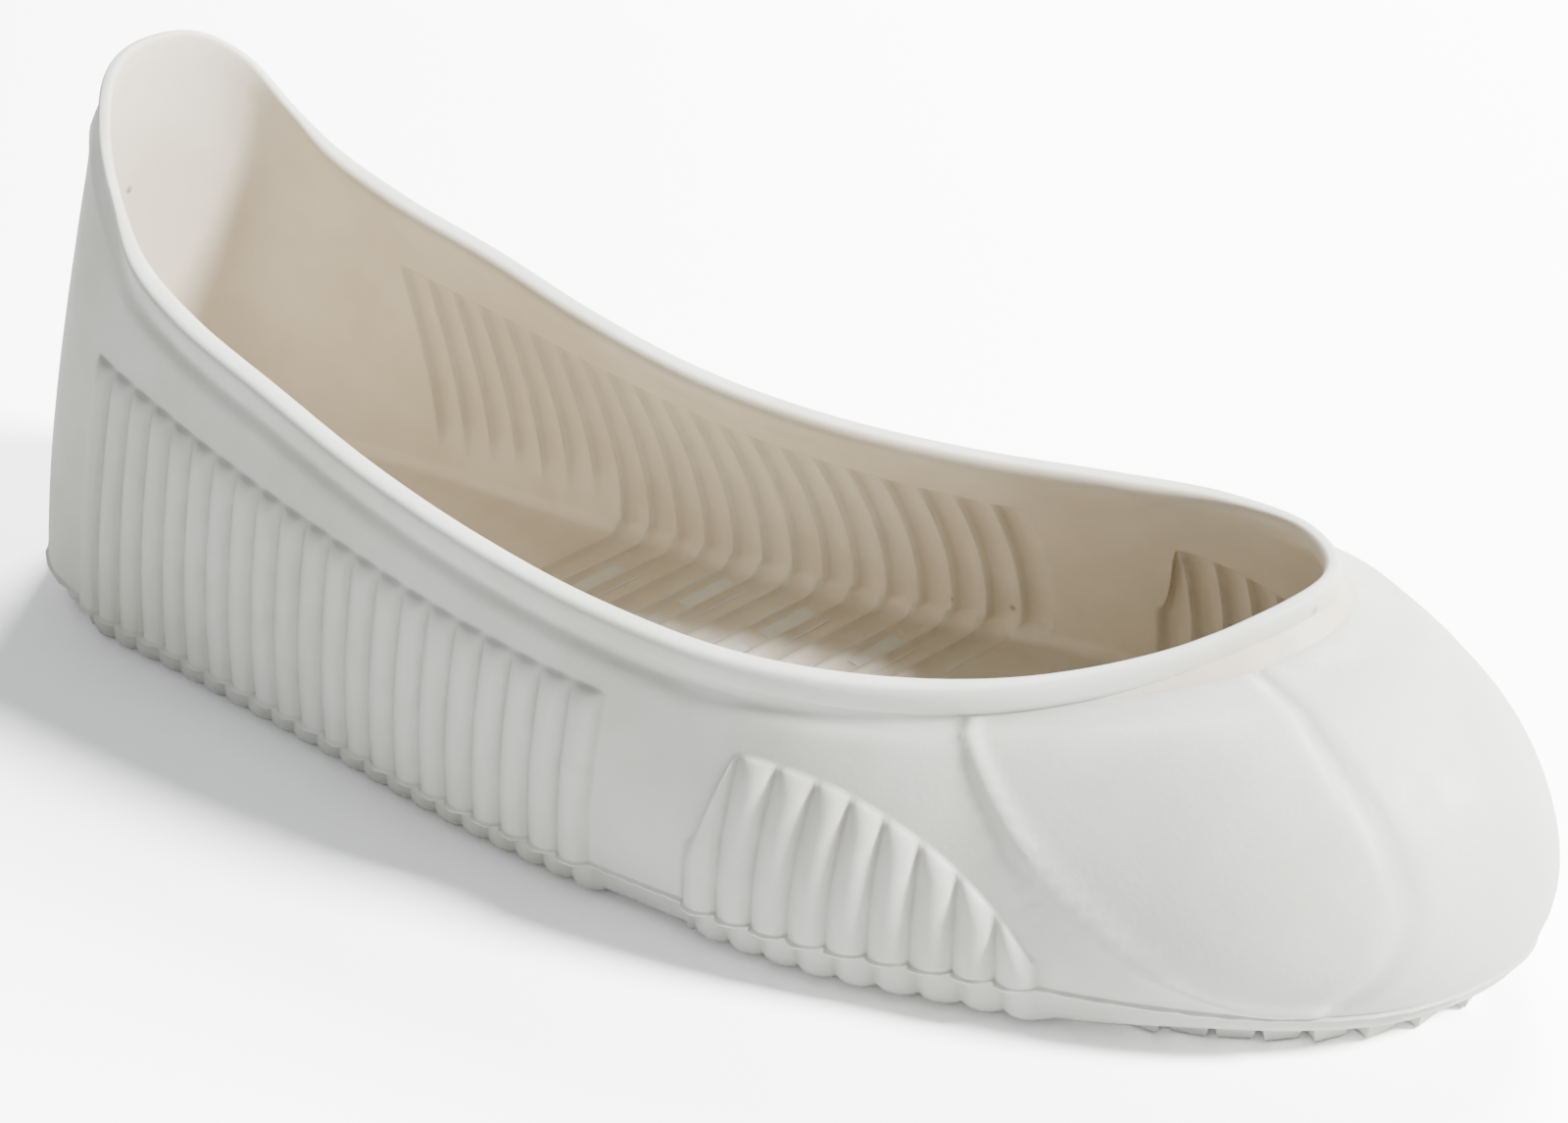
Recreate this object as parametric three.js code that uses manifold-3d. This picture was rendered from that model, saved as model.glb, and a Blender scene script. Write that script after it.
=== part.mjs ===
// Moulded slip-on overshoe for the right foot, built as one hollow rubber shell.
// Millimetres, +Z up, toe toward -Y, the wearer's outer (lateral) side toward -X.
// The shell is lofted through vertical strips. Each strip starts on a line along the middle of
// the sole, runs out under the sole, up the side wall, over the rolled rim, down the inside of
// the wall and back along the floor. Strips beside the foot lie in the planes of the ribs, and
// strips at the heel and toe fan out round a centre. Tread lugs are joined on underneath.

import * as THREE from 'three';
import Module from 'manifold-3d';
import { mergeVertices } from 'three/addons/utils/BufferGeometryUtils.js';

// ---- driving dimensions ------------------------------------------------------------------

const WALL = 3;                 // wall thickness
const SOLE_UNDERSIDE = 2;       // height of the plain underside between the lugs
const FLOOR = 6;                // height of the inside floor
const FLOOR_CORNER = 2.5;       // width of the slope between wall and floor
const PARTING_HEIGHT = 8.4;     // mould parting line round the foot, on top of the sole band
const SOLE_BAND_INSET = 1.2;    // sole band stands back from the wall by this
const PARTING_STEP = 1;         // height over which it steps back
const SOLE_EDGE_INSET = 9;      // plain underside ends this far inside the parting line
const SOLE_LIP_INSET = 2;       // lowest edge of the sole band
const SOLE_LIP = 0.4;           // its height at a rib, and how much higher it is between ribs
const SOLE_LIP_RISE = 1.4;
const SOLE_BAND_HEIGHT = 2;     // height of the rounding between lip and band
const TOE_SPRING = 2.6;         // rise of the sole under the toe
const TOE_SPRING_START = 190;   // stations where the rise begins and is full
const TOE_SPRING_FULL = 226;

// Bead round the mouth, flush with the wall inside. It thins into the pull tab at the heel and
// runs out into the toe cap.
const BEAD_HEIGHT = 5;
const BEAD_BULGE = 1.4;         // how far it stands out of the wall
const TAB_EDGE_HEIGHT = 3;
const TAB_START_HEIGHT = 70;    // rim heights between which it thins
const TAB_FULL_HEIGHT = 84;
const THROAT_START = 165;       // stations between which it runs out
const THROAT_FULL = 205;
const UNDER_BEAD = 2.5;         // hollow under the bead

const RIB_PITCH = 6;
const RIB_SKEW = THREE.MathUtils.degToRad(14);   // rib planes turned from square across the foot
const RIB_RISE = 1.8;           // how far the ribs stand out of the walls
const FLOOR_RIB_DEPTH = 1;      // depth of the channels that the ribs leave in the floor
const RIB_FADE = 3;             // height over which a rib dies out at its top
const LOWEST_RIB_TOP = 14;

const ORIGIN_STATION = 108.7;     // station and side offset of the middle of the object's box
const ORIGIN_OFFSET = -1.1;

// Parting line in plan. Stations run from the heel toward the toe, offsets across the foot:
// lateral is negative and medial positive.
const FOOT_HEEL_END = { station: -38.5, offset: -2.5 };
const FOOT_TOE_END = { station: 254, offset: 7 };
const FOOT_SECTIONS = [
  { station: -27, lateral: -32, medial: 27 },
  { station: -10, lateral: -40.5, medial: 35.5 },
  { station: 14, lateral: -43.6, medial: 38 },
  { station: 50, lateral: -48.2, medial: 38.7 },
  { station: 86, lateral: -53.3, medial: 40 },
  { station: 120, lateral: -55.2, medial: 43.5 },
  { station: 155, lateral: -53.4, medial: 50 },
  { station: 181, lateral: -46.9, medial: 53 },
  { station: 207, lateral: -39.5, medial: 49 },
  { station: 229, lateral: -29.5, medial: 39.5 },
  { station: 246, lateral: -14.5, medial: 25 },
];

// Rim of the mouth, with the height of its top. The last rows at the heel make the pull tab.
const MOUTH_HEEL_END = { station: -24, offset: 4, height: 101 };
const MOUTH_TOE_END = { station: 212, offset: 16, height: 58 };
const MOUTH_SECTIONS = [
  { station: -21, lateral: -7.5, medial: 16.5, height: 99.5 },
  { station: -15.5, lateral: -16, medial: 24.5, height: 93 },
  { station: -8, lateral: -22, medial: 28.5, height: 82.5 },
  { station: 0, lateral: -26.5, medial: 29.5, height: 75.5 },
  { station: 15, lateral: -31.5, medial: 28.5, height: 70.3 },
  { station: 39, lateral: -37, medial: 26.7, height: 65.3 },
  { station: 63, lateral: -41.7, medial: 24.1, height: 60 },
  { station: 87, lateral: -45.1, medial: 22.8, height: 56 },
  { station: 112, lateral: -46.8, medial: 25.3, height: 53 },
  { station: 138, lateral: -45.3, medial: 31.2, height: 51.2 },
  { station: 162, lateral: -38.2, medial: 37.5, height: 51 },
  { station: 183, lateral: -26, medial: 40.5, height: 52 },
  { station: 201, lateral: -8, medial: 34, height: 55 },
];

// Rib groups, given by the first and last groove on each side, counted in pitches.
const REAR_RIBS = { lateral: [0, 20], medial: [1, 21], lowTop: 40, rise: 16.5, bend: 1.35 };
const FORE_RIBS = { lateral: [25, 33], medial: [26, 32], top: 37.3, start: 147, length: 53 };
const FLOOR_RIBS = [8, 20];
const HALF_PITCH = 0.51;        // a group takes in half a pitch past its end grooves

// Strips: centres of the heel and toe fans as stations along the rib normal.
const HEEL_CENTRE = 0;
const TOE_CENTRE = { sole: 198, mouth: 184 };
const MOUTH_SQUEEZE_START = 165;
const STRIPS_PER_PITCH = 2;
const FAN_STRIPS = 18;

// Wall profile, as a curve from the parting line to the rim with two handles. The swell pushes
// the low handle out, the leans draw the handles toward the rim, and the heights are shares of
// the climb.
const SIDE_WALL = { swell: 0.5, lowHeight: 0.35, highLean: 0.5, highHeight: 0.7 };
const TOE_WALL = { swell: 9, lowHeight: 0.42, highLean: 0.3, highHeight: 0.8, start: 175, full: 245 };
const HEEL_WALL = { lowLean: 0.2, highLean: 0.12, full: -15, end: 45 };

// Lugs under the sole, in rows along the rib planes. The root is the height where a lug ends
// inside the sole.
const LUG = { length: 10, width: 12, root: 4, taper: 1.4, rowPitch: 18, pitch: 17, margin: 11 };
const LUG_ROWS = { start: -30, end: 210 };

// Smaller lugs in two rings round the toe, by the angle of their spokes in degrees.
const TOE_LUGS = [
  { ring: 'edge', inset: 6.8, count: 13, firstAngle: -72, lastAngle: 72, scale: 0.6 },
  { ring: 'inner', inset: 24, count: 3, firstAngle: -34, lastAngle: 34, scale: 0.85 },
];

// ---- frames ------------------------------------------------------------------------------

const UP = new THREE.Vector3(0, 0, 1);
const COS = Math.cos(RIB_SKEW);
const SIN = Math.sin(RIB_SKEW);

// A point from foot coordinates (station along the foot, offset across it).
function footPoint(station, offset, height) {
  return new THREE.Vector3(offset - ORIGIN_OFFSET, ORIGIN_STATION - station, height);
}

// The same from rib coordinates (along the rib normal, along the rib plane).
function ribPoint(along, across, height) {
  return footPoint(along * COS + across * SIN, across * COS - along * SIN, height);
}

// Distance of a point along the rib normal.
function ribStation(point) {
  const station = ORIGIN_STATION - point.y;
  const offset = point.x + ORIGIN_OFFSET;
  return station * COS - offset * SIN;
}

function ribDirection(angle) {
  const tip = ribPoint(Math.cos(angle), Math.sin(angle), 0);
  return tip.sub(ribPoint(0, 0, 0)).normalize();
}

// ---- outlines ----------------------------------------------------------------------------

const OUTLINE_STEPS = 300;

function outline(heelEnd, sections, toeEnd) {
  const point = (station, offset, height) => footPoint(station, offset, height ?? PARTING_HEIGHT);
  const points = [
    point(heelEnd.station, heelEnd.offset, heelEnd.height),
    ...sections.map((row) => point(row.station, row.lateral, row.height)),
    point(toeEnd.station, toeEnd.offset, toeEnd.height),
    ...sections.toReversed().map((row) => point(row.station, row.medial, row.height)),
  ];
  return new THREE.CatmullRomCurve3(points, true, 'centripetal').getPoints(OUTLINE_STEPS);
}

const footOutline = outline(FOOT_HEEL_END, FOOT_SECTIONS, FOOT_TOE_END);
const mouthOutline = outline(MOUTH_HEEL_END, MOUTH_SECTIONS, MOUTH_TOE_END);

// Where a ray from a centre, in plan, leaves an outline.
function reach(centre, direction, line) {
  let best = null;
  let bestDistance = -Infinity;
  for (let i = 0; i + 1 < line.length; i += 1) {
    const a = line[i];
    const edge = line[i + 1].clone().sub(a);
    const cross = direction.x * edge.y - direction.y * edge.x;
    if (Math.abs(cross) < 1e-9) continue;
    const gap = a.clone().sub(centre);
    const distance = (gap.x * edge.y - gap.y * edge.x) / cross;
    const part = (gap.x * direction.y - gap.y * direction.x) / cross;
    if (part < -1e-9 || part > 1 + 1e-9 || distance < 0 || distance < bestDistance) continue;
    bestDistance = distance;
    best = a.clone().addScaledVector(edge, part);
  }
  return best;
}

// Middle of an outline on one rib plane.
function middle(along, line) {
  const start = ribPoint(along, along * Math.tan(RIB_SKEW), 0);
  const lateral = reach(start, ribDirection(-Math.PI / 2), line);
  const medial = reach(start, ribDirection(Math.PI / 2), line);
  return lateral.add(medial).multiplyScalar(0.5).setZ(0);
}

// ---- strips ------------------------------------------------------------------------------

// Each strip holds its centre, its place on the parting line and its place on the rim.
function strip(along, angle) {
  const mouthRoom = TOE_CENTRE.mouth - MOUTH_SQUEEZE_START;
  const mouthScale = mouthRoom / (TOE_CENTRE.sole - MOUTH_SQUEEZE_START);
  const mouthAlong = along < MOUTH_SQUEEZE_START
    ? along
    : MOUTH_SQUEEZE_START + (along - MOUTH_SQUEEZE_START) * mouthScale;
  const direction = ribDirection(angle);
  const centre = middle(along, footOutline);
  const foot = reach(centre, direction, footOutline);
  const rim = reach(middle(mouthAlong, mouthOutline), direction, mouthOutline);
  const onSide = Math.abs(Math.abs(angle) - Math.PI / 2) < 1e-9;
  return { centre, foot, rim, direction, along, onSide, side: angle < 0 ? 'lateral' : 'medial' };
}

function allStrips() {
  const step = RIB_PITCH / STRIPS_PER_PITCH;
  const count = Math.round((TOE_CENTRE.sole - HEEL_CENTRE) / step);
  const strips = [];
  for (let i = 0; i <= count; i += 1) {
    strips.push(strip(HEEL_CENTRE + i * step, -Math.PI / 2));
  }
  for (let i = 1; i < FAN_STRIPS; i += 1) {
    strips.push(strip(TOE_CENTRE.sole, -Math.PI / 2 + (Math.PI * i) / FAN_STRIPS));
  }
  for (let i = count; i >= 0; i -= 1) {
    strips.push(strip(HEEL_CENTRE + i * step, Math.PI / 2));
  }
  for (let i = 1; i < FAN_STRIPS; i += 1) {
    strips.push(strip(HEEL_CENTRE, Math.PI / 2 + (Math.PI * i) / FAN_STRIPS));
  }
  return strips;
}

// ---- ribs --------------------------------------------------------------------------------

function ribTop(along, side) {
  const pitch = along / RIB_PITCH;
  const rear = REAR_RIBS[side];
  const fore = FORE_RIBS[side];
  if (pitch < (rear[1] + fore[0]) / 2) {
    const part = Math.min(Math.max(1 - along / (RIB_PITCH * rear[1]), 0), 1);
    return REAR_RIBS.lowTop + REAR_RIBS.rise * part ** REAR_RIBS.bend;
  }
  const part = Math.min(Math.max((along - FORE_RIBS.start) / FORE_RIBS.length, 0), 1);
  return Math.max(FORE_RIBS.top * Math.sqrt(1 - part * part), LOWEST_RIB_TOP);
}

function inGroup(along, group) {
  const pitch = along / RIB_PITCH;
  return pitch > group[0] - HALF_PITCH && pitch < group[1] + HALF_PITCH;
}

// 0 in the valley between two ribs and 1 on a rib's crest.
function crest(along) {
  return 0.5 - 0.5 * Math.cos((2 * Math.PI * along) / RIB_PITCH);
}

function wallRib(item, height) {
  if (!item.onSide) return 0;
  const ribbed = inGroup(item.along, REAR_RIBS[item.side]) || inGroup(item.along, FORE_RIBS[item.side]);
  if (!ribbed) return 0;
  const fade = THREE.MathUtils.clamp((ribTop(item.along, item.side) - height) / RIB_FADE, 0, 1);
  return RIB_RISE * crest(item.along) * fade;
}

function floorChannel(item) {
  if (!item.onSide || !inGroup(item.along, FLOOR_RIBS)) return 0;
  return FLOOR_RIB_DEPTH * crest(item.along);
}

// ---- profile of one strip ----------------------------------------------------------------

function toeSpring(point) {
  const station = ORIGIN_STATION - point.y;
  return TOE_SPRING * THREE.MathUtils.smoothstep(station, TOE_SPRING_START, TOE_SPRING_FULL);
}

// 0 along the sides and 1 round the toe cap, and likewise for the heel.
function toeShare(item) {
  return THREE.MathUtils.smoothstep(ORIGIN_STATION - item.foot.y, TOE_WALL.start, TOE_WALL.full);
}

function heelShare(item) {
  return 1 - THREE.MathUtils.smoothstep(ORIGIN_STATION - item.foot.y, HEEL_WALL.full, HEEL_WALL.end);
}

// Line of the wall's outer skin between the parting line and the rim.
function wallCurve(item) {
  const toe = toeShare(item);
  const heel = heelShare(item);
  const blend = (key) => THREE.MathUtils.lerp(SIDE_WALL[key], TOE_WALL[key], toe);
  const outward = item.foot.clone().sub(item.centre).setZ(0).normalize();
  const climb = item.rim.z - item.foot.z;
  const inward = item.rim.clone().sub(item.foot).setZ(0);
  const low = item.foot.clone()
    .addScaledVector(outward, blend('swell'))
    .addScaledVector(inward, HEEL_WALL.lowLean * heel)
    .addScaledVector(UP, climb * blend('lowHeight'));
  const high = item.foot.clone()
    .addScaledVector(inward, blend('highLean') + HEEL_WALL.highLean * heel)
    .addScaledVector(UP, climb * blend('highHeight'));
  return new THREE.CubicBezierCurve3(item.foot, low, high, item.rim);
}

// Point of the wall curve at a height.
function atHeight(curve, height) {
  let low = 0;
  let high = 1;
  for (let i = 0; i < 30; i += 1) {
    const mid = (low + high) / 2;
    if (curve.getPoint(mid).z < height) low = mid;
    else high = mid;
  }
  return curve.getPoint((low + high) / 2);
}

const RIB_ROWS = [0.35, 0.7];         // rows up the ribs
const PLAIN_ROWS = [0.35, 0.75];      // rows between the rib tops and the bead
const LEAST_PLAIN = 4;                // least height of the plain wall above a rib
const BEAD_ANGLES = [-35, 25, 90, 155, 215];

// Outer skin of the wall without its ribs, from the parting line to just under the bead.
function wallRows(item) {
  const curve = wallCurve(item);
  const top = item.rim.z - BEAD_HEIGHT / 2 - UNDER_BEAD;
  const ribs = Math.min(ribTop(item.along, item.side), top - LEAST_PLAIN);
  const start = PARTING_HEIGHT;
  const heights = [
    start,
    ...RIB_ROWS.map((part) => start + (ribs - RIB_FADE - start) * part),
    ribs - RIB_FADE,
    ribs,
    ...PLAIN_ROWS.map((part) => ribs + (top - ribs) * part),
    top,
  ];
  return heights.map((height) => atHeight(curve, Math.max(height, PARTING_HEIGHT)));
}

// Normals of the smooth wall, taken from a mesh of its rows.
function wallNormals(strips, rows) {
  const count = rows[0].length;
  const geometry = new THREE.BufferGeometry().setFromPoints(rows.flat());
  const index = [];
  for (let i = 0; i < strips.length; i += 1) {
    const next = (i + 1) % strips.length;
    for (let j = 0; j + 1 < count; j += 1) {
      const a = i * count + j;
      const b = next * count + j;
      index.push(a, b, b + 1, a, b + 1, a + 1);
    }
  }
  geometry.setIndex(index);
  geometry.computeVertexNormals();
  const normal = geometry.getAttribute('normal');
  const read = (i, j) => new THREE.Vector3().fromBufferAttribute(normal, i * count + j);
  return rows.map((row, i) => row.map((_, j) => read(i, j)));
}

function beadPoints(item, normal) {
  const tab = THREE.MathUtils.smoothstep(item.rim.z, TAB_START_HEIGHT, TAB_FULL_HEIGHT);
  const throat = THREE.MathUtils.smoothstep(ORIGIN_STATION - item.rim.y, THROAT_START, THROAT_FULL);
  const bulge = BEAD_BULGE * (1 - tab) * (1 - throat);
  const halfHeight = THREE.MathUtils.lerp(BEAD_HEIGHT, TAB_EDGE_HEIGHT, tab) / 2;
  const halfWidth = (WALL + bulge) / 2;
  const out = normal.clone().setZ(0).normalize();
  const centre = item.rim.clone()
    .addScaledVector(out, bulge - halfWidth)
    .addScaledVector(UP, -halfHeight);
  return BEAD_ANGLES.map((degrees) => {
    const angle = THREE.MathUtils.degToRad(degrees);
    return centre.clone()
      .addScaledVector(out, halfWidth * Math.cos(angle))
      .addScaledVector(UP, halfHeight * Math.sin(angle));
  });
}

function profile(item, wall, normals) {
  const outward = item.foot.clone().sub(item.centre).setZ(0).normalize();
  const spring = toeSpring(item.foot);
  const rib = wallRib(item, PARTING_HEIGHT);
  const lip = SOLE_LIP + SOLE_LIP_RISE * (1 - rib / RIB_RISE) + spring;
  const under = (inset, height) => item.foot.clone().addScaledVector(outward, -inset).setZ(height);
  const centreSpring = toeSpring(item.centre);

  const sole = [
    item.centre.clone().setZ(SOLE_UNDERSIDE + centreSpring),
    under(SOLE_EDGE_INSET, SOLE_UNDERSIDE + spring),
    under(SOLE_LIP_INSET - rib, lip),
    under(SOLE_BAND_INSET - rib, lip + SOLE_BAND_HEIGHT),
    under(SOLE_BAND_INSET - rib, PARTING_HEIGHT - PARTING_STEP),
  ];
  const outer = wall.map((point, j) => {
    return point.clone().addScaledVector(normals[j], wallRib(item, point.z));
  });
  const inner = wall.map((point, j) => {
    return point.clone().addScaledVector(normals[j], wallRib(item, point.z) - WALL);
  }).reverse();
  inner.pop();
  const channel = floorChannel(item);
  const floor = [
    under(WALL + FLOOR_CORNER, FLOOR + spring - channel),
    item.centre.clone().setZ(FLOOR + centreSpring - channel),
  ];
  return [...sole, ...outer, ...beadPoints(item, normals.at(-1)), ...inner, ...floor];
}

// ---- solids ------------------------------------------------------------------------------

// Closed skin through the strips' profiles. Strips that share a point there leave no face.
function shellGeometry() {
  const strips = allStrips();
  const walls = strips.map(wallRows);
  const normals = wallNormals(strips, walls);
  const profiles = strips.map((item, i) => profile(item, walls[i], normals[i]));
  const points = [];
  const triangle = (a, b, c) => {
    const flat = a.distanceTo(b) < 1e-3 || b.distanceTo(c) < 1e-3 || c.distanceTo(a) < 1e-3;
    if (!flat) points.push(a, b, c);
  };
  const floorRow = profiles[0].length - 1;
  profiles.forEach((here, i) => {
    const next = profiles[(i + 1) % profiles.length];
    for (let j = 0; j < floorRow; j += 1) {
      triangle(here[j], next[j], next[j + 1]);
      triangle(here[j], next[j + 1], here[j + 1]);
    }
  });
  const geometry = new THREE.BufferGeometry().setFromPoints(points);
  return mergeVertices(geometry, 1e-3);
}

// Tapered block that stands on the ground, narrow side down, with its top sunk in the sole.
function lugGeometry({ centre, angle, scale }) {
  const half = Math.SQRT1_2;
  const height = LUG.root + toeSpring(centre);
  const geometry = new THREE.CylinderGeometry(half, half, height, 4, 1);
  geometry.rotateY(Math.PI / 4);
  geometry.rotateX(Math.PI / 2);
  const position = geometry.getAttribute('position');
  for (let i = 0; i < position.count; i += 1) {
    const low = position.getZ(i) < 0;
    position.setX(i, position.getX(i) * (LUG.width * scale - (low ? LUG.taper : 0)));
    position.setY(i, position.getY(i) * (LUG.length * scale - (low ? LUG.taper : 0)));
  }
  geometry.rotateZ(angle - RIB_SKEW);
  geometry.translate(centre.x, centre.y, height / 2);
  return geometry;
}

function rowLugs() {
  const lugs = [];
  const first = Math.ceil(LUG_ROWS.start / LUG.rowPitch);
  const last = Math.floor(LUG_ROWS.end / LUG.rowPitch);
  for (let row = first; row <= last; row += 1) {
    const along = row * LUG.rowPitch + RIB_PITCH / 2;
    const start = ribPoint(along, along * Math.tan(RIB_SKEW), 0);
    const lateral = reach(start, ribDirection(-Math.PI / 2), footOutline);
    const medial = reach(start, ribDirection(Math.PI / 2), footOutline);
    const room = lateral.clone().sub(medial).setZ(0).length() - 2 * LUG.margin;
    const count = Math.floor(room / LUG.pitch) + 1;
    for (let i = 0; i < count && room > LUG.width; i += 1) {
      const part = (i - (count - 1) / 2) * LUG.pitch;
      const mid = lateral.clone().add(medial).multiplyScalar(0.5);
      lugs.push({ centre: mid.addScaledVector(ribDirection(Math.PI / 2), part), angle: 0, scale: 1 });
    }
  }
  return lugs;
}

function toeLugs() {
  const hub = middle(TOE_CENTRE.sole, footOutline);
  return TOE_LUGS.flatMap(({ inset, count, firstAngle, lastAngle, scale }) => {
    return Array.from({ length: count }, (_, i) => {
      const degrees = THREE.MathUtils.lerp(firstAngle, lastAngle, i / (count - 1));
      const angle = THREE.MathUtils.degToRad(degrees);
      const spoke = ribDirection(angle);
      return { centre: reach(hub, spoke, footOutline).addScaledVector(spoke, -inset), angle, scale };
    });
  });
}

const SMALLEST_EDGE = 0.01;     // shorter edges are merged away

const wasm = await Module();
wasm.setup();

function toSolid(geometry) {
  const plain = geometry.clone();
  plain.deleteAttribute('normal');
  plain.deleteAttribute('uv');
  const merged = mergeVertices(plain, 1e-3);
  return new wasm.Manifold(new wasm.Mesh({
    numProp: 3,
    vertProperties: new Float32Array(merged.getAttribute('position').array),
    triVerts: new Uint32Array(merged.getIndex().array),
  }));
}

function toGeometry(solid) {
  const mesh = solid.getMesh();
  const geometry = new THREE.BufferGeometry();
  geometry.setAttribute('position', new THREE.BufferAttribute(mesh.vertProperties, 3));
  geometry.setIndex(new THREE.BufferAttribute(mesh.triVerts, 1));
  return geometry;
}

function overshoeGeometry() {
  let solid = toSolid(shellGeometry());
  for (const lug of [...rowLugs(), ...toeLugs()]) {
    solid = solid.add(toSolid(lugGeometry(lug)));
  }
  return toGeometry(solid.simplify(SMALLEST_EDGE));
}

const rubber = new THREE.MeshStandardMaterial({ color: 0xe4e3dc, roughness: 0.6, metalness: 0 });

const overshoe = new THREE.Group();
const shell = new THREE.Mesh(overshoeGeometry(), rubber);
shell.name = 'overshoe_shell';
overshoe.add(shell);

export default overshoe;
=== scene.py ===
# %% [markdown]
# # A moulded rubber overshoe
# An overshoe like this is injected in one shot: two mould halves meet on a line just above the
# floor, and rubber fills the gap between them and a foot-shaped core. So the whole object is one
# skin about 3 mm thick, with ribs, rim, pull tab and tread all part of it. The lesson follows
# the same order: the frame, the outlines, the skin, its ribs, its tread, its finish, the light.

# %% Load the frame
import math

import bpy
import numpy as np
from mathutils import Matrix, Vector


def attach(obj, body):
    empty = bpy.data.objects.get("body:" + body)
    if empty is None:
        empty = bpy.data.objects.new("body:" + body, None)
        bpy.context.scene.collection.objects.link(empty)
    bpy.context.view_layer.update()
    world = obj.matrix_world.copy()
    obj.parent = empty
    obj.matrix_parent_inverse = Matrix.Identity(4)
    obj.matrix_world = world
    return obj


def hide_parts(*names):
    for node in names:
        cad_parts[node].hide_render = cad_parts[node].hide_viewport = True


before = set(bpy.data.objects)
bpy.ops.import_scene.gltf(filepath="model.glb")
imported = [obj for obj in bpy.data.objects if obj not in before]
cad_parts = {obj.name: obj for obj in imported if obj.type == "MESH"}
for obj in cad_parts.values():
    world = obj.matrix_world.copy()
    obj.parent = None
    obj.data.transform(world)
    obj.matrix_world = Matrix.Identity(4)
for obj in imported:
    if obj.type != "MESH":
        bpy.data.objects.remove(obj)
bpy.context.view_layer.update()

SHELL_NODE = "overshoe_shell"

# %% [markdown]
# ## Sizes
# Everything below is worked out in millimetres, because shoemakers and mould makers think in
# them, and turned into metres only when a mesh is made. A place on the shoe is a station, from
# heel to toe, and an offset across the foot, negative on the outer (lateral) side. The solid
# model has its toe along -Y, so a station runs against Y.

# %% Sizes and frames
MM = 0.001
WALL = 3.0
FLOOR = 6.0
FLOOR_CORNER = 2.5
PARTING_HEIGHT = 8.4
SOLE_UNDERSIDE = 2.0
SOLE_EDGE_INSET = 9.0
SOLE_LIP_INSET = 2.0
SOLE_LIP = 0.4
SOLE_LIP_RISE = 1.4
TOE_SPRING = 2.6
TOE_SPRING_START, TOE_SPRING_FULL = 190.0, 226.0
RIB_PITCH = 6.0
RIB_SKEW = math.radians(14)
RIB_RISE = 1.8
ORIGIN_STATION = 108.7
ORIGIN_OFFSET = -1.1
COS, SIN = math.cos(RIB_SKEW), math.sin(RIB_SKEW)
print("rib pitch", RIB_PITCH, "mm, wall", WALL, "mm")


# %% Places on the foot and along the ribs
def foot_point(station, offset, height):
    station, offset, height = np.broadcast_arrays(station, offset, height)
    return np.stack([offset - ORIGIN_OFFSET, ORIGIN_STATION - station, height], -1).astype(float)


def rib_point(along, across, height=0.0):
    along, across = np.asarray(along, float), np.asarray(across, float)
    return foot_point(along * COS + across * SIN, across * COS - along * SIN, height)


def rib_direction(angle):
    return rib_point(np.cos(angle), np.sin(angle)) - rib_point(0.0, 0.0)


def unit(vectors):
    return vectors / np.linalg.norm(vectors, axis=-1, keepdims=True)


def smoothstep(low, high, value):
    part = np.clip((value - low) / (high - low), 0, 1)
    return part * part * (3 - 2 * part)


def mix(a, b, share):
    return a + (b - a) * share


print("the heel end of the ribs lies at", foot_point(0, 0, 0))


# %% [markdown]
# ## Two outlines
# A lastmaker describes a shoe by closed curves. Two are enough here: the parting line round the
# foot, and the rim of the mouth, which also climbs at the heel to make the pull tab. Each is a
# smooth closed curve through a few sections, with the lateral and medial offset of each.

# %% Outlines of the foot and the mouth
FOOT_ENDS = dict(heel=(-38.5, -2.5, PARTING_HEIGHT), toe=(254.0, 7.0, PARTING_HEIGHT))
FOOT_SECTIONS = [  # station, lateral, medial
    (-27, -32, 27),
    (-10, -40.5, 35.5),
    (14, -43.6, 38),
    (50, -48.2, 38.7),
    (86, -53.3, 40),
    (120, -55.2, 43.5),
    (155, -53.4, 50),
    (181, -46.9, 53),
    (207, -39.5, 49),
    (229, -29.5, 39.5),
    (246, -14.5, 25),
]
MOUTH_ENDS = dict(heel=(-24.0, 4.0, 101.0), toe=(212.0, 16.0, 58.0))
MOUTH_SECTIONS = [  # station, lateral, medial, height
    (-21, -7.5, 16.5, 99.5),
    (-15.5, -16, 24.5, 93),
    (-8, -22, 28.5, 82.5),
    (0, -26.5, 29.5, 75.5),
    (15, -31.5, 28.5, 70.3),
    (39, -37, 26.7, 65.3),
    (63, -41.7, 24.1, 60),
    (87, -45.1, 22.8, 56),
    (112, -46.8, 25.3, 53),
    (138, -45.3, 31.2, 51.2),
    (162, -38.2, 37.5, 51),
    (183, -26, 40.5, 52),
    (201, -8, 34, 55),
]
STEPS_BETWEEN_SECTIONS = 24
print("sections:", len(FOOT_SECTIONS), "round the foot,", len(MOUTH_SECTIONS), "round the mouth")


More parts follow.
